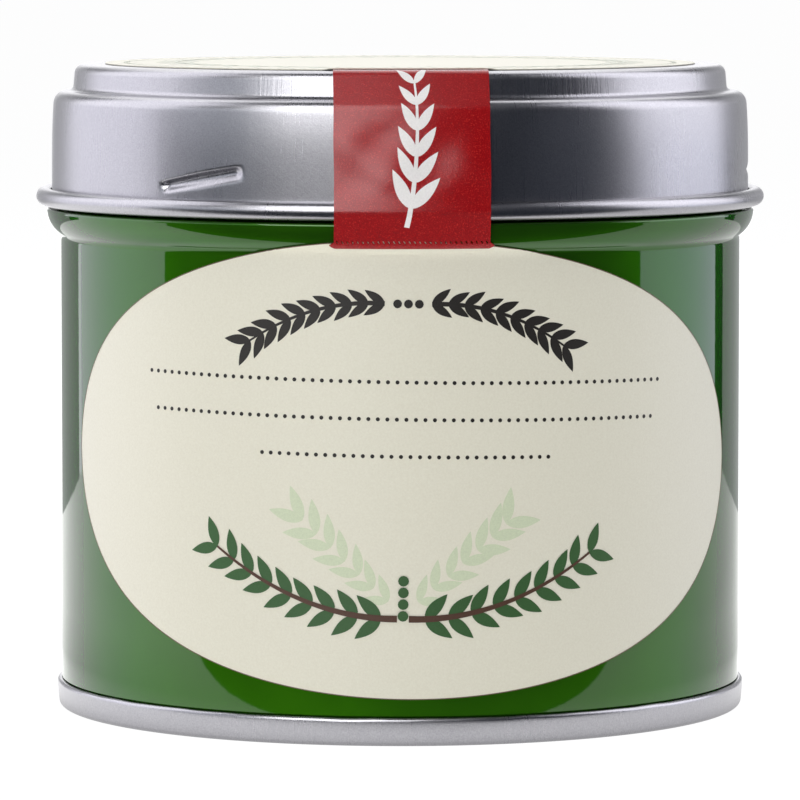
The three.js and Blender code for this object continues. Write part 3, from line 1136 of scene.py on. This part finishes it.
@dataclass
class ScrewLid:
    """Lid: panel, riser, ledge, shoulder, skirt with pressed lugs, and outward curl."""

    stock: Stock
    lugs: Lugs
    panel_top: float = 68.8
    panel_edge: tuple[float, float] = (33.85, 1.05)  # distance of the centre from the axis, and radius
    lean: float = 8.0
    ledge_top: float = 66.0
    ledge_fillet: tuple[float, float] = (35.6, 0.6)
    shoulder: tuple[float, float] = (35.75, 1.4)
    skirt_foot: float = 37.35
    curl_radius: float = 0.95
    curl_z: float = 54.73
    bow_angle: float = 4.5  # lean of the skirt where it leaves the shoulder
    bow_power: float = 4.0  # how soon it straightens below that

    def skirt_line(self, r: float, z: float) -> Line:
        """Outside of the skirt, bowed in a little towards the shoulder.

        Args:
            r: Distance from the axis at the shoulder.
            z: Height of the shoulder's end.

        Returns:
            Points from just under the shoulder to just over the curl.
        """
        share = np.linspace(0.97, 0.03, 24)
        bow = (self.skirt_foot - r) * share**self.bow_power
        return np.column_stack((self.skirt_foot - bow, self.curl_z + (z - self.curl_z) * share))

    @property
    def curl_centre(self) -> float:
        """Distance of the curl's centre from the axis."""
        return self.skirt_foot - self.stock.sheet + self.curl_radius

    def build(self, tree: PressedLugs, palette: Palette) -> None:
        """Makes the lid.

        Args:
            tree: Tree that presses the lugs.
            palette: Materials.
        """
        edge_r, edge = self.panel_edge
        ledge_r, ledge = self.ledge_fillet
        shoulder_r, shoulder = self.shoulder
        outside = np.vstack((
            (0.0, self.panel_top),
            (edge_r * 0.6, self.panel_top),
            arc(edge_r, self.panel_top - edge, edge, 90, self.lean, 6),
            arc(ledge_r, self.ledge_top + ledge, ledge, 180 + self.lean, 270, 8),
            arc(shoulder_r, self.ledge_top - shoulder, shoulder, 90, self.bow_angle, 7),
            self.skirt_line(shoulder_r + shoulder, self.ledge_top - shoulder),
        ))
        half = self.stock.sheet / 2
        middle = np.vstack((
            offset(outside, -half),
            arc(self.curl_centre, self.curl_z, self.curl_radius - half, 180, 490, 14),
        ))
        middle[0, 0] = 0.0
        reach = self.lugs.length / 2 * math.sin(math.radians(self.lugs.slope)) + self.lugs.width / 2 + 0.1
        middle = graded(middle, self.lugs.height - reach, self.lugs.height + reach, 0.1)
        piece = turned("tin_lid", self.stock.outline(middle), self.lugs.meridians(2.0, 0.3, 9.0))
        radius = (shoulder_r + shoulder + self.skirt_foot) / 2
        self.lugs.press(tree, piece, radius, palette.tinplate, False)
        settle(piece, "tinplate", [palette.tinplate], "screw_lid")


@dataclass
class OvalLabel:
    """Oval paper label on the front of the body, with its printed ornament."""

    stock: Stock
    body: TinBody
    half_width: float = 42.8
    half_height: float = 23.5
    z: float = 28.3
    aside: float = -0.65  # it was stuck on a little to the left
    askew: float = -1.0  # and a little clockwise, in degrees
    margin: float = 0.09  # width of the painted shade line at the cut edge
    rules: Pairs = ((9.0, 58.0), (5.2, 56.0), (1.4, 30.0))  # height and length of each dotted rule
    rule_dot: float = 0.42
    rule_pitch: float = 0.95

    def place(self, across: np.ndarray, along: np.ndarray, lift: np.ndarray) -> np.ndarray:
        """Lays flat points on the body's outside."""
        turn = math.radians(self.askew)
        round_it = self.aside + across * math.cos(turn) - along * math.sin(turn)
        z = self.z + across * math.sin(turn) + along * math.cos(turn)
        return around(round_it / self.body.wall_radius, self.body.radius_at(z) + lift, z)

    def build(self, rows: RowAlongPath, palette: Palette) -> None:
        """Makes the label and prints it.

        Args:
            rows: Tree that lays leaves and dots.
            palette: Materials.
        """
        half = (self.half_width, self.half_height)
        sheet = oval("oval_label", self.place, half, self.stock.glue, self.stock.paper, 48, 288)
        settle(sheet, "cream_paper", [palette.paper], "front_label")
        lift = self.stock.layer + self.stock.print_gap
        self.print(Drawing(rows, palette, self.place, lift, "cream_paper"))

    def print(self, draw: Drawing) -> None:
        """Prints a garland, three dotted rules and a leafy spray."""
        turn = np.linspace(0, 2 * math.pi, 361)
        rim = np.column_stack((self.half_width * np.cos(turn), self.half_height * np.sin(turn)))
        rim *= 1 - self.margin / 2 / self.half_height
        # a thin dark line of painted shade round the cut edge
        draw.stem("label_edge_line", rim, Ink.EDGE, (self.margin, self.margin))
        for side in (-1, 1):
            hand = "left" if side < 0 else "right"
            garland = bent((side * 2.4, 17.0), (side * 9.5, 17.4), (side * 16.5, 12.8))
            draw.stem(f"garland_stem_{hand}", garland, Ink.BLACK, (0.5, 0.2), 1)
            draw.spray(
                f"garland_leaves_{hand}", garland, Ink.BLACK, (3.3, 1.15), 10, Spread=0.62, Jitter=0.1,
                First_Scale=0.75, Last_Scale=0.9, Pair=True, Seed=3 + side,
            )
            branch = bent((side * 0.6, -15.2), (side * 10, -15.4), (side * 20, -8.6))
            draw.stem(f"branch_stem_{hand}", branch, Ink.BROWN, (0.7, 0.22), 2)
            draw.spray(
                f"branch_leaves_{hand}", branch[2:], Ink.GREEN, (4.3, 1.6), 9, 1, Spread=0.72, Jitter=0.14,
                First_Scale=0.8, Last_Scale=0.75, Pair=True, Seed=11 + side,
            )
            shade = bent((side * 1.5, -13.4), (side * 5, -10.4), (side * 10.5, -5.4))
            draw.spray(
                f"pale_leaves_{hand}", shade, Ink.SAGE, (4.2, 1.4), 7, Spread=0.6, Jitter=0.16,
                First_Scale=0.7, Last_Scale=0.9, Pair=True, Seed=21 + side,
            )
        draw.dots("garland_middle", np.array([(-1.1, 17.0), (1.1, 17.0)]), Ink.BLACK, 0.9, 3, 1)
        draw.dots("branch_middle", np.array([(0.0, -14.9), (0.0, -11.3)]), Ink.GREEN, 1.1, 4, 3)
        for number, (height, length) in enumerate(self.rules):
            rule = np.array([(-length / 2, height), (length / 2, height)])
            count = round(length / self.rule_pitch)
            draw.dots(f"dotted_rule_{number + 1}", rule, Ink.BLACK, self.rule_dot, count)


@dataclass
class RoundLabel:
    """Round paper label on the lid's panel, humped a little over the end of the strip."""

    stock: Stock
    lid: ScrewLid
    radius: float = 31.6
    strip_half: float = 8.0
    strip_start: float = 26.0
    hump_ease: float = 0.7
    dot_ring: float = 29.4
    leaf_ring: float = 24.0

    def place(self, across: np.ndarray, along: np.ndarray, lift: np.ndarray) -> np.ndarray:
        """Lays flat points on the panel and over the strip's end."""
        ease = self.hump_ease
        aside = smooth((self.strip_half + ease - np.abs(across)) / ease)
        ahead = smooth((-along - self.strip_start + ease) / ease)
        return flat(across, along, self.lid.panel_top + self.stock.layer * aside * ahead + lift)

    def build(self, rows: RowAlongPath, palette: Palette) -> None:
        """Makes the label and prints it.

        Args:
            rows: Tree that lays leaves and dots.
            palette: Materials.
        """
        sheet = oval(
            "round_label", self.place, (self.radius, self.radius), self.stock.glue, self.stock.paper, 64, 240
        )
        settle(sheet, "cream_paper", [palette.paper], "top_label")
        lift = self.stock.layer + self.stock.print_gap
        draw = Drawing(rows, palette, self.place, lift, "cream_paper")
        turn = np.linspace(0, 2 * math.pi, 241)
        circle = np.column_stack((np.sin(turn), -np.cos(turn)))
        draw.dots("top_dotted_ring", circle * self.dot_ring, Ink.MIST, 0.55, 150)
        draw.spray(
            "top_leaf_ring", circle * self.leaf_ring, Ink.MIST, (3.2, 1.1), 44,
            Spread=0.7, Jitter=0.05, Pair=True, Seed=5,
        )
        draw.stem("top_leaf_ring_stem", circle * self.leaf_ring, Ink.MIST, (0.25, 0.25), 1)


@dataclass
class SealStrip:
    """Seal strip: from under the top label, down the lid, taut over the curl, on to the front label."""

    stock: Stock
    lid: ScrewLid
    body: TinBody
    width: float = 16.0
    start: float = 26.0
    foot: float = 50.95
    tear_z: float = 51.6  # height of the row of tear slits
    ear: float = 0.48  # how far the tab stands out at each side
    slit: tuple[float, float] = (0.36, 0.13)
    slit_pitch: float = 0.5
    slit_slant: float = 62.0
    slit_depth: float = 0.25  # to either side of the film's middle
    slit_margin: float = 0.35
    free_z: tuple[float, float] = (55.4, 64.4)  # heights between which it hangs free
    free_ease: float = 2.5
    wrinkle: float = 0.13
    waves: tuple[tuple[float, ...], ...] = (  # size, turn per millimetre across and up, and phase
        (1.0, 0.55, 0.8, 0.0), (0.6, 0.9, -0.5, 1.3),
    )
    loose: float = 0.2  # how far its right edge stands off the skirt
    loose_top: float = 61.5
    twig_z: tuple[float, float] = (53.2, 67.6)  # heights of the printed twig's ends
    pale: float = 0.13  # width of the cut edge's pale line
    line: Line = field(init=False)
    along: np.ndarray = field(init=False)
    normal: Line = field(init=False)

    def __post_init__(self) -> None:
        """Works out the line that the middle of the film follows."""
        clear = self.stock.glue + self.stock.paper / 2
        lid = self.lid
        edge = (lid.panel_edge[0], lid.panel_top - lid.panel_edge[1], lid.panel_edge[1] + clear)
        shoulder = (lid.shoulder[0], lid.ledge_top - lid.shoulder[1], lid.shoulder[1] + clear)
        curl = (lid.curl_centre, lid.curl_z, lid.curl_radius + clear)
        r, z, radius = self.body.bead
        bead = (r, z, radius + self.stock.layer + clear)
        over_step = self.touch(edge, shoulder)
        over_skirt = self.touch(shoulder, curl)
        over_bead = self.touch(curl, bead)
        end = -math.degrees(math.asin((z - self.foot) / bead[2]))
        line = np.vstack((
            (self.start, lid.panel_top + clear),
            arc(*edge, 90, over_step, 5),
            arc(*shoulder, over_step, over_skirt, 7),
            arc(*curl, over_skirt, over_bead, 5),
            arc(*bead, over_bead, end, 1.5),
        ))
        steps = np.concatenate(([0.0], np.cumsum(np.linalg.norm(np.diff(line, axis=0), axis=1))))
        self.along = np.unique(np.concatenate((steps, np.arange(0, steps[-1], 0.3))))
        self.line = np.column_stack([np.interp(self.along, steps, line[:, i]) for i in (0, 1)])
        self.normal = offset(self.line, 1.0) - self.line
        self.normal /= np.linalg.norm(self.normal, axis=1)[:, None]

    @staticmethod
    def touch(first: tuple[float, float, float], second: tuple[float, float, float]) -> float:
        """Angle in degrees at which a taut film leaves one round edge and meets the next."""
        way = (second[0] - first[0], second[1] - first[1])
        turn = math.acos((first[2] - second[2]) / math.hypot(*way))
        return math.degrees(math.atan2(way[1], way[0]) + turn)

    def length_at(self, z: float) -> float:
        """Distance along the film at which its lower part reaches a height."""
        return float(np.interp(-z, -self.line[:, 1], self.along))

    def place(self, across: np.ndarray, along: np.ndarray, lift: np.ndarray) -> np.ndarray:
        """Lays flat points on the film's middle, with faint slanted wrinkles where it hangs free."""
        r, z = (np.interp(along, self.along, self.line[:, i]) for i in (0, 1))
        out, up = (np.interp(along, self.along, self.normal[:, i]) for i in (0, 1))
        low, top = self.free_z
        free = smooth((top - z) / self.free_ease) * smooth((z - low) / self.free_ease)
        wave = sum(size * np.sin(a * across + b * z + phase) for size, a, b, phase in self.waves)
        off = smooth((across - 1) / 7) * smooth((self.loose_top - z) / 4) * smooth((z - low) / 2)
        high = lift + self.wrinkle * free * wave + self.loose * off
        return around(across / r, r + out * high, z + up * high)

    def build(self, rows: RowAlongPath, palette: Palette) -> None:
        """Makes the strip, cuts its tear slits and prints it.

        Args:
            rows: Tree that lays slits and leaves.
            palette: Materials.
        """
        tear, end = self.length_at(self.tear_z), self.along[-1]
        tab = np.array([tear, tear + (end - tear) * 0.5, tear + (end - tear) * 0.75, end])
        along = np.unique(np.concatenate((self.along, tab)))
        half = self.width / 2 + np.interp(along, tab, (0.0, self.ear, self.ear * 0.55, -0.1), left=0.0)
        inner = np.linspace(-1, 1, 65)[None, :] * (half[:, None] - self.pale)
        across = np.hstack((-half[:, None], inner, half[:, None]))
        thick = self.stock.paper / 2
        grid = np.broadcast_to(along[:, None], across.shape)
        faces = [self.place(across, grid, np.full_like(across, lift)) for lift in (thick, -thick)]
        piece = slab("seal_film", faces[0], faces[1], 1)
        columns = across.shape[1] - 1
        front = np.arange(len(along) * columns - columns)
        for number in front[(front % columns == 0) | (front % columns == columns - 1)]:
            piece.data.polygons[number].material_index = 1
        self.cut(piece, rows, palette, tear)
        settle(piece, "red_film", [palette.film, palette.core], "seal_strip")
        lift = thick + self.stock.print_gap
        self.print(Drawing(rows, palette, self.place, lift, "red_film", self.along))

    def cut(self, piece: bpy.types.Object, rows: RowAlongPath, palette: Palette, tear: float) -> None:
        """Cuts a row of slanted tear slits across the strip.

        Args:
            piece: The strip.
            rows: Tree that sets the slits in a row.
            palette: Materials.
            tear: Distance along the strip of the row.
        """
        length, width = self.slit
        side = np.array([[-width / 2, width / 2]])
        ends = np.array([[-length / 2], [length / 2]])
        slit = slab("slit", flat(ends, side, self.slit_depth), flat(ends, side, -self.slit_depth))
        reach = self.width / 2 - self.slit_margin
        count = int(2 * reach / self.slit_pitch)
        row = np.array([(-reach, tear), (reach, tear)])
        cutter = rows.lay("slits", row, slit, palette.core, Count=count, Spread=math.radians(self.slit_slant))
        drape(cutter, self.place, 0.0)
        cutter.data.polygons.foreach_set("material_index", np.ones(len(cutter.data.polygons), dtype=np.int32))
        for mesh in (piece.data, cutter.data):
            mesh.materials.clear()
            mesh.materials.append(palette.film)
            mesh.materials.append(palette.core)
        knife = piece.modifiers.new("tear slits", "BOOLEAN")
        knife.operation = "DIFFERENCE"
        knife.solver = "EXACT"
        knife.object = cutter
        plain(piece)
        bpy.data.objects.remove(cutter)

    def print(self, draw: Drawing) -> None:
        """Prints an upright twig with paired leaves."""
        low, high = (self.length_at(z) for z in self.twig_z)
        twig = bent((-0.6, low), (1.0, (low + high) / 2), (0.3, high))
        draw.stem("twig_stem", twig, Ink.WHITE, (0.55, 0.2), 1)
        draw.spray(
            "twig_leaves", twig[3:], Ink.WHITE, (4.4, 1.35), 6, Spread=0.6, Jitter=0.1,
            First_Scale=1.0, Last_Scale=0.6, Pair=True, Seed=31,
        )


def towards(azimuth: float, distance: float, z: float) -> tuple[float, float, float]:
    """Point at an angle from the front in degrees, a distance from the axis and a height."""
    turn = math.radians(azimuth)
    return distance * math.sin(turn), -distance * math.cos(turn), z


class Reach(Enum):
    """What a light is for."""

    WASH = "lights matt surfaces"
    SHINE = "shows in glossy ones"


@dataclass(frozen=True)
class Softbox:
    """One area light: where it stands, what it faces, its size, its brightness and its purpose."""

    name: str
    centre: tuple[float, float, float]
    target: tuple[float, float, float]
    size: tuple[float, float]
    radiance: float
    reach: Reach
    tint: str = "#FFFFFF"

    @classmethod
    def upright(
        cls,
        name: str,
        span: tuple[float, float],
        rise: tuple[float, float],
        away: float,
        radiance: float,
        tint: str,
    ) -> "Softbox":
        """A standing panel that shows in glossy surfaces.

        Args:
            name: Name of the light.
            span: Angles of its two upright edges, in degrees from the front.
            rise: Heights of its lower and upper edge.
            away: Distance from the axis.
            radiance: Its brightness.
            tint: Its colour.

        Returns:
            The light.
        """
        middle, z = sum(span) / 2, sum(rise) / 2
        width = 2 * away * math.tan(math.radians(span[1] - span[0]) / 2)
        centre = towards(middle, away, z)
        return cls(name, centre, (0, 0, z), (width, rise[1] - rise[0]), radiance, Reach.SHINE, tint)

    @classmethod
    def sloped(
        cls,
        name: str,
        azimuth: float,
        low: tuple[float, float],
        high: tuple[float, float],
        width: float,
        radiance: float,
    ) -> "Softbox":
        """A panel that leans over the tin and shows in glossy surfaces.

        Args:
            name: Name of the light.
            azimuth: Its direction from the axis, in degrees from the front.
            low: Distance and height of its lower edge.
            high: Distance and height of its upper edge.
            width: Its width.
            radiance: Its brightness.

        Returns:
            The light.
        """
        away, z = (low[0] + high[0]) / 2, (low[1] + high[1]) / 2
        run, climb = high[0] - low[0], high[1] - low[1]
        faced = towards(azimuth, away - climb, z + run)
        size = (width, math.hypot(run, climb))
        return cls(name, towards(azimuth, away, z), faced, size, radiance, Reach.SHINE)

    def build(self) -> None:
        """Makes the light, which the camera doesn't see."""
        light = bpy.data.lights.new(self.name, "AREA")
        light.shape = "RECTANGLE"
        light.size, light.size_y = (side * MM for side in self.size)
        light.energy = self.radiance * math.pi * light.size * light.size_y
        light.color = linear(self.tint)[:3]
        lamp = bpy.data.objects.new(self.name, light)
        lamp.location = Vector(self.centre) * MM
        way = Vector(self.target) - Vector(self.centre)
        lamp.rotation_euler = way.to_track_quat("-Z", "Y").to_euler()
        lamp.visible_camera = False
        lamp.visible_diffuse = self.reach is Reach.WASH
        lamp.visible_glossy = self.reach is Reach.SHINE
        bpy.context.scene.collection.objects.link(lamp)


@dataclass(frozen=True)
class Studio:
    """White table between softboxes, lit from the front left, and the camera."""

    focal: float = 270.8
    sensor: float = 36.0
    camera: tuple[float, float, float] = (-21.4, -646.2, 84.65)
    pitch: float = 4.605
    floor_half: float = 8000.0
    table: tuple[float, float, float, float] = (-420.0, -50.0, 420.0, 200.0)  # its front edge is close
    table_glow: Pairs = (  # distance from the axis, and brightness there; the low step by the tin is painted contact shadow
        (37.0, 0.9), (40.0, 1.35), (50.0, 1.6), (58.0, 1.45), (66.0, 1.2), (106.0, 1.4),
    )
    glow_half: float = 120.0  # the glow falls off from left to right over twice this width, as painted light stronger from the left
    glow_sides: tuple[float, float] = (1.12, 0.75)
    world: str = "#B4C4E4"
    world_strength: float = 0.055
    lights: tuple[Softbox, ...] = (
        Softbox("left_wash", towards(-113.5, 550, 185), (0, 0, 185), (592, 430), 1.8, Reach.WASH, "#F1EFFF"),
        Softbox("right_wash", towards(108.5, 550, 185), (0, 0, 185), (501, 430), 1.7, Reach.WASH, "#EAECFF"),
        Softbox("top_wash", (0, -100, 900), (0, -100, 0), (700, 700), 3.6, Reach.WASH),
        Softbox("front_left_wash", towards(-26, 720, 198), (0, 0, 45), (540, 300), 3.2, Reach.WASH),
        Softbox.upright("left_low", (-138, -85), (-30, 160), 550, 1.75, "#F7F6FF"),
        Softbox.upright("left_high", (-138, -81), (160, 900), 550, 2.2, "#FAF9FF"),
        Softbox.upright("left_fill_near", (-81, -66), (45, 400), 700, 0.95, "#F4F7FF"),
        Softbox.upright("left_fill_far", (-66, -46), (45, 400), 700, 0.65, "#EEF5FF"),
        Softbox.upright("right_low", (83.5, 128), (-30, 50), 550, 1.6, "#ECEFFF"),
        Softbox.upright("right_middle", (77, 128), (50, 160), 550, 2.1, "#F8F8FF"),
        Softbox.upright("right_high", (75, 128), (160, 900), 550, 2.5, "#FAF9FF"),
        Softbox.upright("right_fill", (40, 75), (20, 130), 700, 0.1, "#E4ECFF"),
        Softbox.upright("back_panel", (167, 193), (-250, 550), 900, 1.1, "#FFFFFF"),
        Softbox.upright("back_wall", (137.5, 222.5), (-300, 600), 1200, 0.5, "#FFFFFF"),
        Softbox.sloped("over_back", 180, (700, 460), (170, 760), 760, 2.0),
        Softbox.sloped("over_front_left", -26, (760, 112), (310, 640), 480, 3.8),
    )

    def build(self) -> None:
        """Makes the floor, the lights and the camera."""
        half = self.floor_half
        floor = self.sheet("floor", (-half, -half, half, half))
        self.glow(floor, None)
        floor.visible_glossy = False
        table = self.sheet("table_reflection", self.table)
        self.glow(table, self.table_glow)
        for seen in ("visible_camera", "visible_diffuse", "visible_shadow", "visible_transmission"):
            setattr(table, seen, False)
        for light in self.lights:
            light.build()
        self.surroundings()
        lens = bpy.data.cameras.new("camera")
        lens.lens = self.focal
        lens.sensor_width = self.sensor
        lens.clip_start, lens.clip_end = 0.01, 100.0
        camera = bpy.data.objects.new("camera", lens)
        camera.location = Vector(self.camera) * MM
        level = Vector((-self.camera[0], -self.camera[1], 0)).normalized()
        way = level - Vector((0, 0, math.tan(math.radians(self.pitch))))
        camera.rotation_euler = way.to_track_quat("-Z", "Y").to_euler()
        bpy.context.scene.collection.objects.link(camera)
        bpy.context.scene.camera = camera
        bpy.context.scene.view_settings.view_transform = "Standard"

    def surroundings(self) -> None:
        """Gives the room beyond the lights a dim, cool grey."""
        world = bpy.data.worlds.new("studio")
        world.use_nodes = True
        back = world.node_tree.nodes["Background"]
        back.inputs["Color"].default_value = linear(self.world)
        back.inputs["Strength"].default_value = self.world_strength
        bpy.context.scene.world = world

    def sheet(self, name: str, box: tuple[float, float, float, float]) -> bpy.types.Object:
        """Makes a level sheet under the tin.

        Args:
            name: Name of the object.
            box: Its left, front, right and back edges.

        Returns:
            The sheet.
        """
        left, front, right, back = box
        mesh = bpy.data.meshes.new(name)
        corners = ((left, front), (right, front), (right, back), (left, back))
        mesh.from_pydata([(x * MM, y * MM, -0.00002) for x, y in corners], [], [(0, 1, 2, 3)])
        piece = bpy.data.objects.new(name, mesh)
        bpy.context.scene.collection.objects.link(piece)
        return piece

    def glow(self, sheet: bpy.types.Object, steps: Pairs | None) -> None:
        """Gives a sheet an even white, or one that brightens away from the tin out of a painted contact shadow,
        and clears it from below.

        Args:
            sheet: The sheet.
            steps: Distances from the axis and the brightness at each, or None for even white.
        """
        material, tree, shader = shader_of(f"{sheet.name}_white", Roughness=0.9, Specular_IOR_Level=0.0)
        shader.inputs["Base Color"].default_value = linear("#5C5C5C")
        shader.inputs["Emission Color"].default_value = linear("#FFFFFF")
        shader.inputs["Emission Strength"].default_value = 0.98
        if steps:
            spot = add(tree, "ShaderNodeTexCoord").outputs["Object"]
            reach = add(tree, "ShaderNodeVectorMath", {0: spot}, operation="LENGTH").outputs["Value"]
            far = steps[-1][0]
            share = add(tree, "ShaderNodeMath", {
                0: reach, 1: far * MM,
            }, operation="DIVIDE", use_clamp=True).outputs[0]
            ramp = add(tree, "ShaderNodeFloatCurve", {"Value": share})
            points = ramp.mapping.curves[0].points
            brightest = steps[-1][1]
            for i, (distance, level) in enumerate(steps):
                point = points[i] if i < 2 else points.new(distance / far, level / brightest)
                point.location = (distance / far, level / brightest)
                point.handle_type = "VECTOR"
            ramp.mapping.update()
            aside = add(tree, "ShaderNodeSeparateXYZ", {0: spot}).outputs["X"]
            level = add(tree, "ShaderNodeMapRange", {
                "Value": aside, "From Min": -self.glow_half * MM, "From Max": self.glow_half * MM,
                "To Min": self.glow_sides[0] * brightest, "To Max": self.glow_sides[1] * brightest,
            })
            strength = add(tree, "ShaderNodeMath", {
                0: ramp.outputs[0], 1: level.outputs[0],
            }, operation="MULTIPLY")
            tree.links.new(strength.outputs[0], shader.inputs["Emission Strength"])
            shader.inputs["Base Color"].default_value = (0.0, 0.0, 0.0, 1.0)
        clear = add(tree, "ShaderNodeBsdfTransparent")
        facing = add(tree, "ShaderNodeNewGeometry")
        both = add(tree, "ShaderNodeMixShader", {
            0: facing.outputs["Backfacing"], 1: shader.outputs[0], 2: clear.outputs[0],
        })
        tree.links.new(both.outputs[0], tree.nodes["Material Output"].inputs["Surface"])
        sheet.data.materials.append(material)


def main() -> None:
    """Builds the tin and the studio."""
    logging.basicConfig(level=logging.INFO, format="%(name)s: %(message)s")
    palette = Palette()
    press, rows = PressedLugs(), RowAlongPath()
    stock, lugs = Stock(), Lugs()
    body = TinBody(stock, lugs)
    lid = ScrewLid(stock, lugs)
    body.build(press, palette)
    BottomEnd(stock).build(palette)
    lid.build(press, palette)
    OvalLabel(stock, body).build(rows, palette)
    RoundLabel(stock, lid).build(rows, palette)
    SealStrip(stock, lid, body).build(rows, palette)
    Studio().build()


if __name__ == "__main__":
    main()
